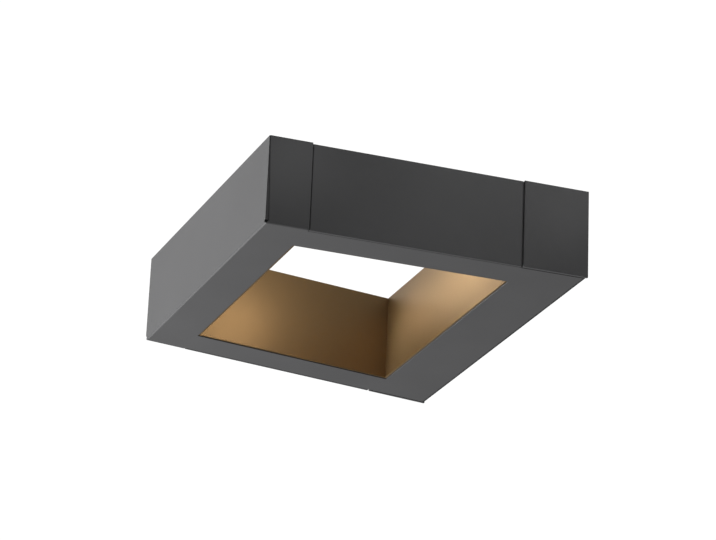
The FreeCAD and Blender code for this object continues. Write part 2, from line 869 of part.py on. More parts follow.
def locking_screw(place):
    tip = place + AXIS_Z * (bracket_top + locking_tip_gap)
    screw = rod(locking_radius, tip, AXIS_Z, locking_length)
    rims = [edge for edge in screw.Edges if isinstance(edge.Curve, Part.Circle)]
    screw = screw.makeChamfer(locking_chamfer, rims)
    corner_radius = locking_socket_across / math.sqrt(3)
    corners = []
    for index in range(6):
        angle = math.radians(60 * index)
        corners.append((tip.x + corner_radius * math.cos(angle), tip.y + corner_radius * math.sin(angle)))
    mouth = tip.z + locking_length
    return screw.cut(prism(corners, mouth - locking_socket_depth, mouth + overrun))


# Electrics on the housing's web

driver_back_y = housing_web_y + driver_depth


def driver_ends():
    return driver_centre - driver_length / 2, driver_centre + driver_length / 2


def driver_screw_spots():
    low, high = driver_ends()
    return low - driver_tab / 2, high + driver_tab / 2


def terminal_ends():
    half = terminal_pitch * terminal_poles / 2
    return terminal_centre - half, terminal_centre + half


def terminal_screw_spots():
    low, high = terminal_ends()
    reach = terminal_end_wall + terminal_ear / 2
    return low - reach, high + reach


def driver_case():
    low, high = driver_ends()
    tall = driver_height / 2
    body = block(low, high, housing_web_y, driver_back_y - driver_lid, -tall, tall)
    body = rounded(body, driver_corner, lambda middle, along: runs_along(along, AXIS_Y))
    hollow = block(low + driver_wall, high - driver_wall, housing_web_y + driver_wall, driver_back_y,
                   driver_wall - tall, tall - driver_wall)
    tabs = block(low - driver_tab, high + driver_tab, housing_web_y, housing_web_y + driver_tab_sheet,
                 -driver_tab_height / 2, driver_tab_height / 2)
    case = joined([body, tabs]).cut(hollow)
    for x in driver_screw_spots():
        start = FreeCAD.Vector(x, housing_web_y - overrun, 0)
        case = case.cut(rod(screw_radius + screw_fit, start, AXIS_Y, driver_tab_sheet + 2 * overrun))
    for start, direction in driver_entries():
        reach = start - direction * overrun
        depth = driver_wall + overrun + entry_margin
        case = case.cut(rod(lead_radius + entry_margin, reach, direction, depth))
    return case


def driver_entries():
    """Where leads enter the driver: two from the mains at its right, two to the LEDs at its left."""
    low, high = driver_ends()
    entries = []
    for y in driver_mains_rows():
        entries.append((FreeCAD.Vector(high, y, driver_mains_z()), -AXIS_X))
    for up in (1, -1):
        entries.append((FreeCAD.Vector(low, driver_output_y(), up * lead_pitch / 2), AXIS_X))
    return entries


def driver_mains_rows():
    return [housing_web_y + driver_depth * share for share in driver_row_shares]


def driver_mains_z():
    return clamp_centre_z + clamp_height / 2 + mains_lead_clamp_gap


def driver_output_y():
    return housing_web_y + driver_depth / 2


def driver_cover():
    low, high = driver_ends()
    tall = driver_height / 2
    lid = block(low, high, driver_back_y - driver_lid, driver_back_y, -tall, tall)
    return rounded(lid, driver_corner, lambda middle, along: runs_along(along, AXIS_Y))


def driver_board_front():
    return housing_web_y + driver_wall + driver_board_gap


def driver_board():
    low, high = driver_ends()
    margin = driver_wall + driver_board_end_gap
    tall = driver_height / 2 - driver_wall - driver_board_gap
    front = driver_board_front()
    return block(low + margin, high - margin, front, front + driver_board_sheet, -tall, tall)


def driver_components():
    """A transformer in the middle, a capacitor each side of it, and a choke at the right end."""
    low, high = driver_ends()
    face = driver_board_front() + driver_board_sheet
    board_half = driver_height / 2 - driver_wall - driver_board_gap
    half_long = transformer_length / 2
    reach = driver_height / 2 - driver_wall - transformer_end_gap
    half_tall = reach - driver_standoff
    core = block(driver_centre - half_long, driver_centre + half_long, face, face + transformer_depth,
                 -half_tall, half_tall)
    winding = rod(transformer_depth / 2, FreeCAD.Vector(driver_centre, face + transformer_depth / 2, -reach),
                  AXIS_Z, 2 * reach)
    choke_x = high - driver_wall - driver_board_end_gap - choke_radius
    choke_start = FreeCAD.Vector(choke_x, face, board_half - choke_edge_gap - choke_radius)
    choke = rod(choke_radius, choke_start, AXIS_Y, choke_height)
    bore = rod(choke_radius * choke_bore_share, choke_start, AXIS_Y, choke_height)
    pieces = [joined([core, winding]), choke.cut(bore)]
    capacitor_z = capacitor_edge_gap + capacitor_radius - board_half
    right_x = choke_x - choke_radius - component_gap - capacitor_radius
    for x in (driver_centre + capacitor_share * driver_length, right_x):
        pieces.append(rod(capacitor_radius, FreeCAD.Vector(x, face, capacitor_z), AXIS_Y, capacitor_length))
    return Part.makeCompound(pieces)


def terminal_rows():
    low, high = terminal_ends()
    return [low + terminal_pitch * (index + 0.5) for index in range(terminal_poles)]


def terminal_face_y():
    return housing_web_y + terminal_depth


def terminal_block():
    low, high = terminal_ends()
    tall = terminal_height / 2
    body = block(low - terminal_end_wall, high + terminal_end_wall, housing_web_y, terminal_face_y(),
                 -tall, tall)
    body = rounded(body, terminal_corner, lambda middle, along: runs_along(along, AXIS_Y))
    reach = terminal_end_wall + terminal_ear
    ears = block(low - reach, high + reach, housing_web_y, housing_web_y + terminal_ear_sheet,
                 -terminal_ear_height / 2, terminal_ear_height / 2)
    body = joined([body, ears])
    for x in terminal_rows():
        body = body.cut(button_well(x))
        for up in (1, -1):
            start = FreeCAD.Vector(x, terminal_entry_y(), up * (tall + overrun))
            radius = lead_radius + entry_margin if up > 0 else entry_radius
            body = body.cut(rod(radius, start, AXIS_Z * -up, entry_depth + overrun))
    for x in terminal_screw_spots():
        start = FreeCAD.Vector(x, housing_web_y - overrun, 0)
        body = body.cut(rod(screw_radius + screw_fit, start, AXIS_Y, terminal_ear_sheet + 2 * overrun))
    return body


def terminal_entry_y():
    return housing_web_y + entry_set_in


def button_well(x):
    half_wide = button_width / 2 + button_gap
    half_tall = button_height / 2 + button_gap
    floor = terminal_face_y() + button_proud - button_length - button_travel - button_floor_gap
    return block(x - half_wide, x + half_wide, floor, terminal_face_y() + overrun, -half_tall, half_tall)


def terminal_button(x):
    outer = terminal_face_y() + button_proud
    button = block(x - button_width / 2, x + button_width / 2, outer - button_length, outer,
                   -button_height / 2, button_height / 2)

    def outer_edges(middle, along):
        return abs(middle.y - outer) < button_gap
    return rounded(button, button_round, outer_edges)


def cord_clamp():
    y = housing_web_y
    half = clamp_height / 2
    body = block(clamp_centre_x - clamp_width / 2, clamp_centre_x + clamp_width / 2, y, y + clamp_depth,
                 clamp_centre_z - half, clamp_centre_z + half)

    def crown(middle, along):
        return runs_along(along, AXIS_X) and middle.y > y + clamp_depth / 2
    body = rounded(body, clamp_round, crown)
    centre = FreeCAD.Vector(clamp_centre_x - clamp_width, y + clamp_channel_set_out, clamp_centre_z)
    body = body.cut(rod(clamp_channel_radius, centre, AXIS_X, clamp_width * 2))
    body = body.cut(block(centre.x, centre.x + clamp_width * 2, y - overrun, centre.y,
                          clamp_centre_z - clamp_channel_radius, clamp_centre_z + clamp_channel_radius))
    for place in clamp_screw_places():
        start = place + AXIS_Y * overrun
        body = body.cut(rod(screw_radius + screw_fit, start, -AXIS_Y, clamp_depth + 2 * overrun))
    return body


def clamp_screw_places():
    places = []
    for up in (1, -1):
        z = clamp_centre_z + up * clamp_screw_spacing / 2
        places.append(FreeCAD.Vector(clamp_centre_x, housing_web_y + clamp_depth, z))
    return places


def earth_tag():
    y = housing_web_y
    place = FreeCAD.Vector(earth_x, y, earth_z)
    ring = rod(earth_tag_radius, place, AXIS_Y, earth_tag_sheet)
    neck_top = earth_z + earth_tag_radius + earth_neck_length
    neck = block(earth_x - earth_neck_width / 2, earth_x + earth_neck_width / 2, y, y + earth_tag_sheet,
                 earth_z, neck_top)
    barrel_start = FreeCAD.Vector(earth_x, y + earth_barrel_radius, neck_top - earth_tag_sheet)
    barrel = rod(earth_barrel_radius, barrel_start, AXIS_Z, earth_barrel_length)
    tag = joined([ring, neck, barrel])
    return tag.cut(rod(earth_screw_radius, place - AXIS_Y * overrun, AXIS_Y, earth_tag_sheet + 2 * overrun))


# Leads

def bushes():
    place = side_place(-1, housing_web_y, housing_bush_inset, 0)
    arm_place, outward = arm_bush_axis()
    return Part.makeCompound([bush(place, -AXIS_Y), bush(arm_place, outward)])


def bush(place, direction):
    """A rubber bush with a lip each side of the sheet that it lines."""
    body = rod(bush_hole_radius, place, direction, channel_wall)
    lip_radius = bush_hole_radius + bush_lip
    near = rod(lip_radius, place - direction * bush_lip_sheet, direction, bush_lip_sheet)
    far = rod(lip_radius, place + direction * channel_wall, direction, bush_lip_sheet)
    whole = joined([body, near, far])
    length = channel_wall + 2 * bush_lip_sheet + 2 * overrun
    return whole.cut(rod(bush_bore_radius, place - direction * (bush_lip_sheet + overrun), direction, length))


def lead_clips():
    clips = []
    for share in clip_shares:
        y = gold_rear_y + share * (gold_front_y - gold_rear_y)
        body = strip(-1, y, y - clip_length, web_inset - clip_reach, web_inset,
                     -clip_height / 2, clip_height / 2)
        slot = strip(-1, y + overrun, y - clip_length - overrun, web_inset - clip_slot_reach,
                     web_inset - clip_slot_web_gap, -clip_slot_height / 2, clip_slot_height / 2)
        clips.append(body.cut(slot))
    return Part.makeCompound(clips)


def led_lead(up):
    """From the driver through the left arm to the LED board."""
    z = up * lead_pitch / 2
    low, high = driver_ends()
    exit_y = driver_output_y()
    bush_x = -half_width(housing_web_y, housing_bush_inset)
    points = [FreeCAD.Vector(low + driver_wall, exit_y, z), FreeCAD.Vector(bush_x, exit_y, z)]
    for run_share, web_gap in zip(lead_run_shares, lead_web_gaps):
        y = gold_rear_y + run_share * (front_skin_y - gold_rear_y)
        points.append(side_place(-1, y, web_inset - web_gap, z))
    bush_place, outward = arm_bush_axis()
    bush_place = bush_place + AXIS_Z * z
    points.append(bush_place + outward * lead_approach_run + AXIS_Y * lead_approach_rise)
    points.append(bush_place - outward * lead_turn_reach - AXIS_Y * lead_turn_dip)
    pad_x = window_length / 2 + light_tray_side_room + lead_radius + lead_pad_overlap
    points.append(FreeCAD.Vector(-pad_x, board_y + lead_radius + entry_margin, z))
    return tube_along(points, lead_radius)


def mains_lead(pole):
    """From the terminal block's top over to the driver's right end."""
    x = terminal_rows()[pole]
    y = terminal_entry_y()
    low, high = driver_ends()
    driver_y = driver_mains_rows()[pole]
    rise = level(1, flange_depth_top + mains_lead_drops[pole])
    points = [
        FreeCAD.Vector(x, y, terminal_height / 2 - entry_depth),
        FreeCAD.Vector(x, y, rise),
        FreeCAD.Vector(high + mains_lead_spans[pole], driver_y, rise - mains_lead_sag),
        FreeCAD.Vector(high + mains_lead_turns[pole], driver_y, driver_mains_z()),
        FreeCAD.Vector(high - driver_wall, driver_y, driver_mains_z()),
    ]
    return tube_along(points, lead_radius)


def earth_lead():
    x = terminal_rows()[2]
    y = terminal_entry_y()
    barrel_top = earth_z + earth_tag_radius + earth_neck_length - earth_tag_sheet + earth_barrel_length
    end_y = housing_web_y + earth_barrel_radius
    rise = level(1, flange_depth_top + earth_lead_drop)
    points = [
        FreeCAD.Vector(x, y, terminal_height / 2 - entry_depth),
        FreeCAD.Vector(x, y, rise),
        FreeCAD.Vector(x + earth_lead_step, y - earth_lead_dip / 2, rise + earth_lead_climb),
        FreeCAD.Vector(earth_x, y - earth_lead_dip, rise + earth_lead_climb / 2),
        FreeCAD.Vector(earth_x, end_y, barrel_top + earth_lead_end_gap),
    ]
    return tube_along(points, lead_radius)


# Screw groups

def plate_screws():
    screws = []
    for place in plate_screw_places():
        start = place - AXIS_Z * plate_screw_sink
        head = Part.makeCone(plate_screw_head_radius, plate_screw_radius, plate_screw_head_depth,
                             start, -AXIS_Z)
        shank = rod(plate_screw_radius, start - AXIS_Z * plate_screw_head_depth, -AXIS_Z,
                    plate_screw_length - plate_screw_head_depth)
        recess = cross_recess(plate_screw_head_radius, plate_screw_head_depth, start, AXIS_Z)
        screws.append(joined([head, shank]).cut(recess))
    return Part.makeCompound(screws)


def lip_screws():
    screws = []
    for side in SIDES.values():
        for place in lip_screw_places(side):
            for up in (1, -1):
                seat = place + AXIS_Z * level(up, lip_depth_top)
                screws.append(pan_screw(seat, AXIS_Z * -up, screw_radius, lip_sheet + channel_wall))
    return Part.makeCompound(screws)


def arm_screws():
    screws = []
    for side in SIDES.values():
        for seat in arm_screw_places(side):
            screws.append(pan_screw(seat, AXIS_Y, screw_radius, channel_wall + tab_thickness))
    return Part.makeCompound(screws)


def screws_on_web(places, stand_off):
    screws = []
    for place in places:
        seat = FreeCAD.Vector(place[0], housing_web_y + stand_off, place[1])
        screws.append(pan_screw(seat, AXIS_Y, screw_radius, stand_off + channel_wall - screw_fit))
    return Part.makeCompound(screws)


def write_parts():
    parts = {
        "face_tray": face_tray(),
        "top_plate": top_plate(),
        "wall_housing": wall_housing(),
        "front_rail": front_rail(),
        "thermal_pad": thermal_pad(),
        "heat_spreader": heat_spreader(),
        "led_board": led_board(),
        "led_chips": led_chips(),
        "light_tray": light_tray(),
        "diffuser": diffuser(),
        "diffuser_gasket": diffuser_gasket(),
        "wall_seal": wall_seal(),
        "wall_bracket": wall_bracket(),
        "cable_grommet": cable_grommet(),
        "driver_case": driver_case(),
        "driver_cover": driver_cover(),
        "driver_board": driver_board(),
        "driver_components": driver_components(),
        "terminal_block": terminal_block(),
        "cord_clamp": cord_clamp(),
        "earth_tag": earth_tag(),
        "lead_bushes": bushes(),
        "lead_clips": lead_clips(),
        "lead_positive": led_lead(1),
        "lead_negative": led_lead(-1),
        "lead_live": mains_lead(0),
        "lead_neutral": mains_lead(1),
        "lead_earth": earth_lead(),
        "top_plate_screws": plate_screws(),
        "cover_screws": lip_screws(),
        "arm_screws": arm_screws(),
    }
    for name, side in SIDES.items():
        parts["arm_cover_" + name] = arm_cover(side)
        parts["rear_cheek_" + name] = rear_cheek(side)
        parts["arm_channel_" + name] = arm_channel(side)
        parts["locking_screw_" + name] = locking_screw(locking_places()[name])
    for name in ("front", "rear", *SIDES):
        parts["gold_panel_" + name] = gold_panel(name)
    for name, x in zip(("live", "neutral", "earth"), terminal_rows()):
        parts["terminal_button_" + name] = terminal_button(x)
    parts["board_screws"] = Part.makeCompound(
        [pan_screw(seat, AXIS_Y, small_screw_radius, board_screw_length) for seat in board_screw_places()])
    parts["driver_screws"] = screws_on_web([(x, 0) for x in driver_screw_spots()], driver_tab_sheet)
    parts["terminal_screws"] = screws_on_web([(x, 0) for x in terminal_screw_spots()], terminal_ear_sheet)
    clamp_spots = [(place.x, place.z) for place in clamp_screw_places()]
    parts["cord_clamp_screws"] = screws_on_web(clamp_spots, clamp_depth)
    earth_seat = FreeCAD.Vector(earth_x, housing_web_y + earth_tag_sheet, earth_z)
    parts["earth_screw"] = pan_screw(earth_seat, AXIS_Y, earth_screw_radius, earth_screw_length)
    os.makedirs("parts", exist_ok=True)
    for name, shape in parts.items():
        shape.exportStep(os.path.join("parts", name + ".step"))
        print(name, len(shape.Solids), shape.isValid(), round(shape.Volume, 1))
    return parts


write_parts()
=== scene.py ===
import bmesh
import bpy
import json
import math
from mathutils import Matrix, Vector


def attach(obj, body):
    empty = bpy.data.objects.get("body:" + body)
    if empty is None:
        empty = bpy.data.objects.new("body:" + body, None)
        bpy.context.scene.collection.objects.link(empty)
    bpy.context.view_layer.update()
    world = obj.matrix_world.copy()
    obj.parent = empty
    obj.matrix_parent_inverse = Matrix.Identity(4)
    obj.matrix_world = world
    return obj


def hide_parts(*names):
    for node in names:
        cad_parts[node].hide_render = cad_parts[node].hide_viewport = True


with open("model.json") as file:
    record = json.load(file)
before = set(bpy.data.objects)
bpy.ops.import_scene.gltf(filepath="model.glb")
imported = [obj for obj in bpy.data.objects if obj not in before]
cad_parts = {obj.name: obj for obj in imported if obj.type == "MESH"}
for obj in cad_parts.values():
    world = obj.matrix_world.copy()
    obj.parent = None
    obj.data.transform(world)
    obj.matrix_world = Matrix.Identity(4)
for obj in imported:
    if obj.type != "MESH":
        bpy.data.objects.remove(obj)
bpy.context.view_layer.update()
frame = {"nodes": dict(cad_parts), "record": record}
nodes = frame["nodes"]

# Lengths are in metres in the CAD's frame: X along the wall, Y towards the wall, Z up. Angles are in degrees.

# Camera, as fitted to the photograph's edges, with the lens and the sensor in millimetres
camera_aim = (0.00105, -0.09961, 0.00142)
camera_distance = 1.9585
camera_azimuth = 67.77
camera_rise = 23.30
camera_roll = -2.38
camera_lens = 159.3
camera_clip = (0.05, 50.0)
sensor_width = 36.0

# Stage
floor_drop = 2.4
floor_size = 12.0
backdrop_glow = 0.265
backdrop_seen = 1.05

# Lights: place, aim, size, power in watts, fan of the beam and tint
white = (1, 1, 1)
warm = (1, 0.89, 0.74)
lights = {
    "front_softbox": ((-0.45, -1.3, -0.9), (0, -0.1, 0), (1.7, 1.7), 36.5, 180, white),
    "low_softbox": ((-0.35, -0.36, -0.4), (-0.02, -0.12, 0), (0.3, 0.3), 1.3, 180, white),
    "left_softbox": ((-0.8, -0.75, 0.5), (0, -0.1, 0), (0.9, 0.9), 3.0, 180, white),
    "side_softbox": ((0.24, -0.04, 0.17), (0.115, -0.06, 0.02), (0.05, 0.36), 0.144, 180, white),
    "side_front_glow": ((0.19, -0.186, 0.0275), (0.1, -0.184, 0.026), (0.02, 0.008), 0.0015, 64, white),
    "side_rear_glow": ((0.205, -0.004, 0.0275), (0.115, -0.004, 0.026), (0.02, 0.008), 0.0012, 64, white),
    "lamp_beam": ((-0.007, -0.1715, 0), (-0.007, 0, 0), (0.152, 0.018), 0.043, 26, (1, 0.98, 0.95)),
    "lamp_beam_end": ((0.05, -0.1715, 0), (0.05, 0, 0), (0.06, 0.018), 0.078, 60, (1, 0.97, 0.93)),
    "left_glow": ((0, -0.15, 0), (-0.08, -0.15, 0), (0.02, 0.03), 0.008, 180, warm),
    "right_glow": ((0, -0.15, 0), (0.08, -0.15, 0), (0.02, 0.03), 0.008, 180, warm),
    "inner_glow": ((0, -0.108, 0.02), (-0.085, -0.14, 0), (0.03, 0.03), 0.023, 180, warm),
    "top_softbox": ((0, 0.7, 1.5), (0, -0.05, 0), (1.0, 1.0), 9.0, 180, white),
}

# Finishes: the part of a noise that is spread out, its detail in the patches and in the grain, how far the
# grain moves the roughness, and how deep it is. The painted edge highlight starts and is full where the dot
# product of the rounded and the true normal is as given.
noise_span = (0.3, 0.7)
patch_detail = 3.0
grain_detail = 2.0
roughness_swing = 0.12
grain_depth = 0.0004
edge_highlight_facing = (0.98, 0.75)
edge_highlight_samples = 4

# Seal: half size, width of the strip, and where its rear, the shoulder beside the ribs and the ribs' roots
# lie along Y. The shares are of its width: where the two ribs stand, and half a crest. A root is wider than
# its crest by the ratio.
seal_half = (0.11703, 0.02765)
seal_width = 0.0032
seal_rear = -0.002
seal_shoulder = -0.0007
rib_root = -0.0006
rib_place_shares = (0.27, 0.73)
rib_crest_share = 0.12
rib_root_ratio = 1.6

# Gasket and thermal pad: half sizes, the strip's width, where they lie along Y, and the pad's corner and rim.
# The share is that of the first step of a pad's or an LED's rounded rim.
gasket_half = (0.06304, 0.0130)
gasket_width = 0.0020
gasket_span = (-0.1759, -0.1751)
pad_half = (0.06904, 0.0110)
pad_span = (-0.1985, -0.1980)
pad_corner = 0.002
pad_rim = 0.00018
rim_share = 0.3

# Rubber rings: bore, body and lip radius, lip and sheet thickness. The shares are the slope beside a lip, the
# height in the far lip at which the bore starts to open, and how much of a corner a cut takes.
grommet_sizes = (0.0035, 0.0070, 0.0095, 0.0020, 0.0020)
bush_sizes = (0.0029, 0.0040, 0.0052, 0.0010, 0.0020)
bush_places = (
    ((-0.09851, -0.0375, 0.0), (0.0, -1.0, 0.0)),
    ((-0.07826, -0.1863, 0.0), (-0.99653, -0.08321, 0.0)),
)
ring_slope_share = 0.12
ring_mouth_share = 0.8
ring_cut_share = 0.12

# LEDs: half length of the row, their number, where they lie along Y, and the sizes of a package and of its
# lens. The eye is a tiny hole on the lens's axis.
led_row = 0.05403
led_count = 12
led_face = -0.1924
led_half = 0.00175
led_corner = 0.0003
led_rim = 0.00008
led_package_height = 0.0006
led_lens_radius = 0.00135
led_lens_height = 0.0002
led_lens_eye = 0.00002

# Steps of the round forms, and the angle above which an edge stays sharp
ring_steps = 72
grommet_steps = 96
lens_steps = 40
dome_steps = 6
corner_steps = 8
tube_steps = 6
route_steps = 24
crease_angle = 50

# Leads: radius, half the distance of the two LED leads, and each one's node, finish, length and route
lead_radius = 0.0009
led_lead_rise = 0.0015
led_route = (
    (-0.08251, -0.0265), (-0.09851, -0.0265), (-0.0972, -0.0484), (-0.09179, -0.0879), (-0.08899, -0.1274),
    (-0.09402, -0.16216), (-0.094, -0.18591), (-0.07367, -0.18702), (-0.06424, -0.19135),
)
leads = {
    "lead_positive": ("lead_red", 0.1997, [(x, y, led_lead_rise) for x, y in led_route]),
    "lead_negative": ("lead_black", 0.1997, [(x, y, -led_lead_rise) for x, y in led_route]),
    "lead_live": ("lead_brown", 0.0529, [
        (0.02699, -0.031, 0.004), (0.02699, -0.031, 0.01835), (0.01099, -0.0309, 0.01635),
        (0.00849, -0.0309, -0.00035), (-0.00551, -0.0309, -0.00035)]),
    "lead_neutral": ("lead_blue", 0.0650, [
        (0.03699, -0.031, 0.004), (0.03699, -0.031, 0.02035), (0.01899, -0.0221, 0.01835),
        (0.00949, -0.0221, -0.00035), (-0.00551, -0.0221, -0.00035)]),
    "lead_earth": ("lead_green", 0.0460, [
        (0.04699, -0.031, 0.004), (0.04699, -0.031, 0.02035), (0.05699, -0.03175, 0.02235),
        (0.06799, -0.0325, 0.02135), (0.06799, -0.0359, 0.0095)]),
}

# Each material slot's finish. Grain and patch are scales of a noise, and bump is the grain's strength. The
# lighter edge colour is a painted edge highlight.
finishes = {
    "powder_coat": dict(
        colour=(0.068, 0.068, 0.070), roughness=0.50, grain=2600, bump=0.10, edge_highlight=(0.086, 0.086, 0.088),
        extras={"Specular IOR Level": 0.45}),
    "gold_coat": dict(
        colour=(0.190, 0.120, 0.053), roughness=0.42, metallic=0.75, grain=2200, bump=0.06, variation=0.04,
        edge_highlight=(0.32, 0.23, 0.12)),
    "raw_aluminium": dict(
        colour=(0.62, 0.62, 0.63), roughness=0.38, metallic=1.0, grain=700, bump=0.05, stretch=(0.03, 1, 1),
        edge_highlight=(0.85, 0.85, 0.86)),
    "zinc_steel": dict(
        colour=(0.55, 0.56, 0.58), roughness=0.34, metallic=1.0, grain=300, bump=0.04, variation=0.16,
        patch=90, edge_highlight=(0.8, 0.8, 0.82)),
    "stainless": dict(
        colour=(0.58, 0.58, 0.59), roughness=0.26, metallic=1.0, grain=1500, bump=0.03,
        edge_highlight=(0.85, 0.85, 0.86), edge_highlight_width=0.0002),
    "opal": dict(
        colour=(0.86, 0.85, 0.82), roughness=0.42, grain=1500, bump=0.03, variation=0.02,
        extras={"Subsurface Weight": 0.25, "Subsurface Scale": 0.002,
                "Emission Color": (1.0, 0.93, 0.82, 1.0), "Emission Strength": 0.75}),
    "white_plastic": dict(
        colour=(0.72, 0.72, 0.70), roughness=0.45, grain=1800, bump=0.08, variation=0.03,
        edge_highlight=(0.85, 0.85, 0.84), edge_highlight_width=0.0003),
    "grey_plastic": dict(
        colour=(0.28, 0.29, 0.30), roughness=0.45, grain=1800, bump=0.08, variation=0.04,
        edge_highlight=(0.42, 0.43, 0.44), edge_highlight_width=0.0003),
    "black_plastic": dict(
        colour=(0.022, 0.022, 0.024), roughness=0.42, grain=1800, bump=0.08, variation=0.08,
        edge_highlight=(0.06, 0.06, 0.063), edge_highlight_width=0.0003),
    "orange_plastic": dict(
        colour=(0.62, 0.16, 0.02), roughness=0.38, grain=1800, bump=0.05, variation=0.04,
        edge_highlight=(0.75, 0.28, 0.08), edge_highlight_width=0.0003),
    "circuit_board": dict(
        colour=(0.70, 0.71, 0.69), roughness=0.35, grain=1200, bump=0.04, variation=0.04, patch=60),
    "green_board": dict(
        colour=(0.012, 0.09, 0.035), roughness=0.32, grain=1200, bump=0.05, variation=0.15, patch=120),
    "led_yellow": dict(
        colour=(0.80, 0.62, 0.10), roughness=0.35, grain=1500, bump=0.02, variation=0.05, patch=400),
    "black_rubber": dict(
        colour=(0.014, 0.014, 0.015), roughness=0.72, grain=900, bump=0.25, variation=0.12, patch=60),
    "grey_silicone": dict(
        colour=(0.20, 0.21, 0.22), roughness=0.62, grain=700, bump=0.2, variation=0.08, patch=60),
    "tinned_copper": dict(
        colour=(0.62, 0.58, 0.52), roughness=0.30, metallic=1.0, grain=900, bump=0.05, edge_highlight=(0.8, 0.76, 0.7),
        edge_highlight_width=0.0002),
}
lead_colours = {
    "lead_brown": (0.085, 0.030, 0.012),
    "lead_blue": (0.012, 0.055, 0.30),
    "lead_green": (0.05, 0.26, 0.03),
    "lead_red": (0.35, 0.012, 0.010),
    "lead_black": (0.014, 0.014, 0.014),
}
for name, colour in lead_colours.items():
    finishes[name] = dict(colour=colour, roughness=0.42, grain=1500, bump=0.05, variation=0.1)
floor_paint = dict(colour=(0.8, 0.8, 0.79), roughness=0.6, grain=40, bump=0.02, variation=0.01, patch=2)


def make_camera():
    azimuth = math.radians(camera_azimuth)
    rise = math.radians(camera_rise)
    ahead = math.cos(rise)
    forward = Vector((-math.sin(azimuth) * ahead, math.cos(azimuth) * ahead, math.sin(rise)))
    level = forward.cross(Vector((0, 0, 1))).normalized()
    right = Matrix.Rotation(math.radians(camera_roll), 3, forward) @ level
    up = right.cross(forward)
    data = bpy.data.cameras.new("camera")
    data.sensor_fit = "HORIZONTAL"
    data.sensor_width = sensor_width
    data.lens = camera_lens
    data.clip_start, data.clip_end = camera_clip
    camera = bpy.data.objects.new("camera", data)
    turn = Matrix((right, up, -forward)).transposed().to_4x4()
    camera.matrix_world = Matrix.Translation(Vector(camera_aim) - forward * camera_distance) @ turn
    bpy.context.scene.collection.objects.link(camera)
    bpy.context.scene.camera = camera


# Finishes

def add(tree, kind, **settings):
    node = tree.nodes.new(kind)
    for setting, value in settings.items():
        setattr(node, setting, value)
    return node


def noise(tree, place, scale, detail, stretch=(1, 1, 1)):
    mapping = add(tree, "ShaderNodeMapping")
    mapping.inputs["Scale"].default_value = stretch
    tree.links.new(place, mapping.inputs["Vector"])
    texture = add(tree, "ShaderNodeTexNoise")
    texture.inputs["Scale"].default_value = scale
    texture.inputs["Detail"].default_value = detail
    tree.links.new(mapping.outputs["Vector"], texture.inputs["Vector"])
    return texture.outputs["Fac"]


def spread(tree, value, start, end, low=0.0, high=1.0):
    """Maps a value from start to end onto low to high."""
    span = add(tree, "ShaderNodeMapRange")
    span.inputs["From Min"].default_value = start
    span.inputs["From Max"].default_value = end
    span.inputs["To Min"].default_value = low
    span.inputs["To Max"].default_value = high
    tree.links.new(value, span.inputs["Value"])
    return span.outputs["Result"]


def mixed(tree, factor, first, second):
    """Mixes two colours, each a socket or three numbers."""
    mix = add(tree, "ShaderNodeMix", data_type="RGBA")
    tree.links.new(factor, mix.inputs["Factor"])
    for socket, value in (("A", first), ("B", second)):
        target = [i for i in mix.inputs if i.name == socket and i.type == "RGBA"][0]
        if isinstance(value, bpy.types.NodeSocket):
            tree.links.new(value, target)
        else:
            target.default_value = (*value, 1.0)
    return [o for o in mix.outputs if o.type == "RGBA"][0]


def surface(name, colour, roughness, metallic=0.0, grain=900.0, bump=0.05, variation=0.06, patch=18.0,
            edge_highlight=None, edge_highlight_width=0.0004, stretch=(1, 1, 1), extras=None):
    """A finish with patches of slightly other colour, a fine grain and, where asked, lighter edges painted as
    a highlight.
    """
    material = bpy.data.materials.new(name)
    material.use_nodes = True
    tree = material.node_tree
    shader = tree.nodes["Principled BSDF"]
    place = add(tree, "ShaderNodeTexCoord").outputs["Object"]
    patches = spread(tree, noise(tree, place, patch, patch_detail), *noise_span)
    darker = [value * (1 - variation) for value in colour]
    lighter = [min(1.0, value * (1 + variation)) for value in colour]
    base = mixed(tree, patches, darker, lighter)
    fine = noise(tree, place, grain, grain_detail, stretch)
    rough = spread(tree, fine, *noise_span, roughness * (1 - roughness_swing),
                   min(1.0, roughness * (1 + roughness_swing)))
    height = add(tree, "ShaderNodeBump")
    height.inputs["Strength"].default_value = bump
    height.inputs["Distance"].default_value = grain_depth
    tree.links.new(fine, height.inputs["Height"])
    # Painted edge highlight: the colour turns lighter where the rounded normal leaves the true one.
    if edge_highlight is not None:
        bevel = add(tree, "ShaderNodeBevel", samples=edge_highlight_samples)
        bevel.inputs["Radius"].default_value = edge_highlight_width
        geometry = add(tree, "ShaderNodeNewGeometry")
        facing = add(tree, "ShaderNodeVectorMath", operation="DOT_PRODUCT")
        tree.links.new(bevel.outputs["Normal"], facing.inputs[0])
        tree.links.new(geometry.outputs["Normal"], facing.inputs[1])
        edge = spread(tree, facing.outputs["Value"], *edge_highlight_facing)
        base = mixed(tree, edge, base, edge_highlight)
        tree.links.new(bevel.outputs["Normal"], height.inputs["Normal"])
    tree.links.new(base, shader.inputs["Base Color"])
    tree.links.new(rough, shader.inputs["Roughness"])
    tree.links.new(height.outputs["Normal"], shader.inputs["Normal"])
    shader.inputs["Metallic"].default_value = metallic
    for socket, value in (extras or {}).items():
        shader.inputs[socket].default_value = value
    return material


def dress():
    """Gives each CAD node the finish of its own material slot."""
    slots = {part["node"]: part["material_slot"] for part in frame["record"]["subparts"]}
    for name, node in nodes.items():
        if not node.material_slots:
            node.data.materials.append(None)
        for slot in node.material_slots:
            slot.material = materials[slots[name]]


# Pieces that stand for the soft solids

def place_piece(name, data, slot, body, *stands_for):
    piece = bpy.data.objects.new(name, data)
    bpy.context.scene.collection.objects.link(piece)
    piece.data.materials.append(materials[slot])
    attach(piece, body)
    if stands_for:
        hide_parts(*stands_for)
    return piece


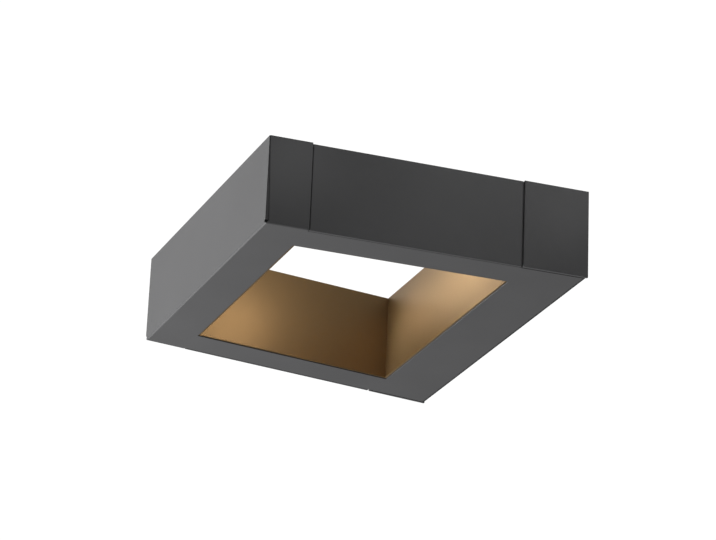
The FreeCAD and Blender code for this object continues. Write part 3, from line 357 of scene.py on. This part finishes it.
def mesh_of(name, form):
    """A mesh with smooth faces, and sharp edges where two faces meet at a steep angle."""
    bmesh.ops.recalc_face_normals(form, faces=form.faces)
    for face in form.faces:
        face.smooth = True
    for edge in form.edges:
        edge.smooth = len(edge.link_faces) != 2 or edge.calc_face_angle(0) < math.radians(crease_angle)
    mesh = bpy.data.meshes.new(name)
    form.to_mesh(mesh)
    form.free()
    return mesh


def loops_joined(form, loops):
    """Faces between each closed loop of points and the next."""
    for near, far in zip(loops, loops[1:]):
        for index, point in enumerate(near):
            after = (index + 1) % len(near)
            form.faces.new((point, near[after], far[after], far[index]))


def turned(form, profile, start, direction, steps=ring_steps):
    """A closed profile of radius and height, turned about an axis."""
    turn = Vector(direction).to_track_quat("Z", "Y").to_matrix()
    loops = []
    for step in range(steps):
        angle = 2 * math.pi * step / steps
        arm = Vector((math.cos(angle), math.sin(angle), 0))
        places = [arm * radius + Vector((0, 0, height)) for radius, height in profile]
        loops.append([form.verts.new(Vector(start) + turn @ place) for place in places])
    loops_joined(form, loops + loops[:1])


def softened(profile, share=0.25, rounds=3):
    """Cuts the corners of a closed profile, again and again, until they are round."""
    for _ in range(rounds):
        cut = []
        for near, far in zip(profile, profile[1:] + profile[:1]):
            for part in (share, 1 - share):
                cut.append(tuple(a + (b - a) * part for a, b in zip(near, far)))
        profile = cut
    return profile


def frame_strip(form, half, profile):
    """A closed profile of depth inwards and place along Y, led round a rectangle with mitred corners."""
    loops = []
    for x, z in ((-1, -1), (1, -1), (1, 1), (-1, 1)):
        places = [(x * (half[0] - inward), y, z * (half[1] - inward)) for inward, y in profile]
        loops.append([form.verts.new(place) for place in places])
    loops_joined(form, loops + loops[:1])


def seal_strip():
    """A rubber seal with two soft ribs that press on the wall."""
    crest = seal_width * rib_crest_share
    root = crest * rib_root_ratio
    outline = [(0, seal_rear), (0, seal_shoulder)]
    for share in rib_place_shares:
        middle = seal_width * share
        outline += [(middle - root, rib_root), (middle - crest, 0.0)]
        outline += [(middle + crest, 0.0), (middle + root, rib_root)]
    outline += [(seal_width, seal_shoulder), (seal_width, seal_rear)]
    form = bmesh.new()
    frame_strip(form, seal_half, softened(outline, share=0.2, rounds=2))
    place_piece("seal_strip", mesh_of("seal_strip", form), "black_rubber", "lamp", "wall_seal")


def gasket_strip():
    low, high = gasket_span
    across = gasket_width / 2
    middle = (low + high) / 2
    outline = [(0, low), (0, high), (across, high), (gasket_width, high), (gasket_width, middle),
               (gasket_width, low), (across, low)]
    form = bmesh.new()
    frame_strip(form, gasket_half, softened(outline))
    place_piece("gasket_strip", mesh_of("gasket_strip", form), "black_rubber", "lamp", "diffuser_gasket")


def ring_profile(bore, body, lip, lip_sheet, sheet, two_lips):
    """A sleeve in a sheet's hole, with a soft lip at its far side and, if asked, at its near side."""
    groove = (lip - body) * ring_slope_share
    points = [(bore, -lip_sheet if two_lips else 0.0)]
    if two_lips:
        points += [(lip, -lip_sheet), (lip, 0.0), (body + groove, 0.0)]
    points += [(body, 0.0), (body, sheet), (body + groove, sheet), (lip, sheet), (lip, sheet + lip_sheet)]
    points += [(bore + groove, sheet + lip_sheet), (bore, sheet + lip_sheet * ring_mouth_share)]
    return softened(points, share=ring_cut_share, rounds=2)


def rubber_rings():
    form = bmesh.new()
    turned(form, ring_profile(*grommet_sizes, two_lips=False), (0, 0, 0), (0, -1, 0), grommet_steps)
    place_piece("cable_ring", mesh_of("cable_ring", form), "black_rubber", "bracket", "cable_grommet")
    form = bmesh.new()
    for start, direction in bush_places:
        turned(form, ring_profile(*bush_sizes, two_lips=True), start, direction)
    place_piece("lead_rings", mesh_of("lead_rings", form), "black_rubber", "lamp", "lead_bushes")


def rounded_outline(half_x, half_z, radius):
    outline = []
    for x, z, start in ((1, 1, 0.0), (-1, 1, 0.25), (-1, -1, 0.5), (1, -1, 0.75)):
        for step in range(corner_steps + 1):
            angle = 2 * math.pi * (start + 0.25 * step / corner_steps)
            outline.append((x * (half_x - radius) + radius * math.cos(angle),
                            z * (half_z - radius) + radius * math.sin(angle)))
    return outline


def slab(form, centre, half, radius, span, rim):
    """A rounded plate across Y, with softly rounded rims."""
    low, high = span
    slight = rim * rim_share
    layers = [(low, rim), (low + slight, slight), (low + rim, 0.0)]
    layers += [(high - rim, 0.0), (high - slight, slight), (high, rim)]
    loops = []
    for y, inward in layers:
        outline = rounded_outline(half[0] - inward, half[1] - inward, radius)
        loops.append([form.verts.new((centre[0] + x, y, centre[1] + z)) for x, z in outline])
    loops_joined(form, loops)
    form.faces.new(loops[0])
    form.faces.new(loops[-1])


def squeezed_pad():
    form = bmesh.new()
    slab(form, (0, 0), pad_half, pad_corner, pad_span, pad_rim)
    place_piece("squeezed_pad", mesh_of("squeezed_pad", form), "grey_silicone", "lamp", "thermal_pad")


def led_packages():
    """White packages, each with a shallow phosphor lens."""
    packages = bmesh.new()
    lenses = bmesh.new()
    top = led_face + led_package_height
    angles = [math.pi / 2 * step / dome_steps for step in range(dome_steps)]
    dome = [(led_lens_radius * math.cos(angle), led_lens_height * math.sin(angle)) for angle in angles]
    dome += [(led_lens_eye, led_lens_height), (led_lens_eye, 0.0)]
    for index in range(led_count):
        x = led_row * (2 * index / (led_count - 1) - 1)
        slab(packages, (x, 0), (led_half, led_half), led_corner, (led_face, top), led_rim)
        turned(lenses, dome, (x, top, 0), (0, 1, 0), lens_steps)
    place_piece("led_packages", mesh_of("led_packages", packages), "white_plastic", "lamp", "led_chips")
    place_piece("led_lenses", mesh_of("led_lenses", lenses), "led_yellow", "lamp")


def lead_tubes():
    for node, (slot, length, route) in leads.items():
        curve = bpy.data.curves.new(node + "_wire", "CURVE")
        curve.dimensions = "3D"
        curve.bevel_depth = lead_radius
        curve.bevel_resolution = tube_steps
        curve.use_fill_caps = True
        spline = curve.splines.new("NURBS")
        spline.points.add(len(route) - 1)
        for point, place in zip(spline.points, route):
            point.co = (*place, 1)
        spline.order_u = 3
        spline.use_endpoint_u = True
        spline.resolution_u = route_steps
        wire = place_piece(node + "_wire", curve, slot, "lamp", node)


# Studio

def area_light(name, place, aim, size, power, fan, tint):
    data = bpy.data.lights.new(name, "AREA")
    data.shape = "RECTANGLE"
    data.size, data.size_y = size
    data.energy = power
    data.color = tint
    data.spread = math.radians(fan)
    light = bpy.data.objects.new(name, data)
    light.location = place
    direction = Vector(aim) - Vector(place)
    light.rotation_euler = direction.to_track_quat("-Z", "Y").to_euler()
    light.visible_camera = False
    bpy.context.scene.collection.objects.link(light)


def make_backdrop():
    """A white backdrop, brighter as it is seen than as it lights the object."""
    world = bpy.data.worlds.new("studio")
    world.use_nodes = True
    tree = world.node_tree
    glow = tree.nodes["Background"]
    seen = add(tree, "ShaderNodeBackground")
    for background, strength in ((glow, backdrop_glow), (seen, backdrop_seen)):
        background.inputs["Color"].default_value = (*white, 1)
        background.inputs["Strength"].default_value = strength
    ray = add(tree, "ShaderNodeLightPath")
    mix = add(tree, "ShaderNodeMixShader")
    tree.links.new(ray.outputs["Is Camera Ray"], mix.inputs["Fac"])
    tree.links.new(glow.outputs["Background"], mix.inputs[1])
    tree.links.new(seen.outputs["Background"], mix.inputs[2])
    tree.links.new(mix.outputs["Shader"], tree.nodes["World Output"].inputs["Surface"])
    bpy.context.scene.world = world
    bpy.context.scene.view_settings.view_transform = "Standard"


def make_floor():
    bpy.ops.mesh.primitive_plane_add(size=floor_size, location=(0, 0, -floor_drop))
    floor = bpy.context.object
    floor.name = "floor"
    floor.data.materials.append(surface("floor_paint", **floor_paint))


make_camera()
materials = {name: surface(name, **finish) for name, finish in finishes.items()}
dress()
seal_strip()
gasket_strip()
rubber_rings()
squeezed_pad()
led_packages()
lead_tubes()
make_backdrop()
for name, settings in lights.items():
    area_light(name, *settings)
make_floor()
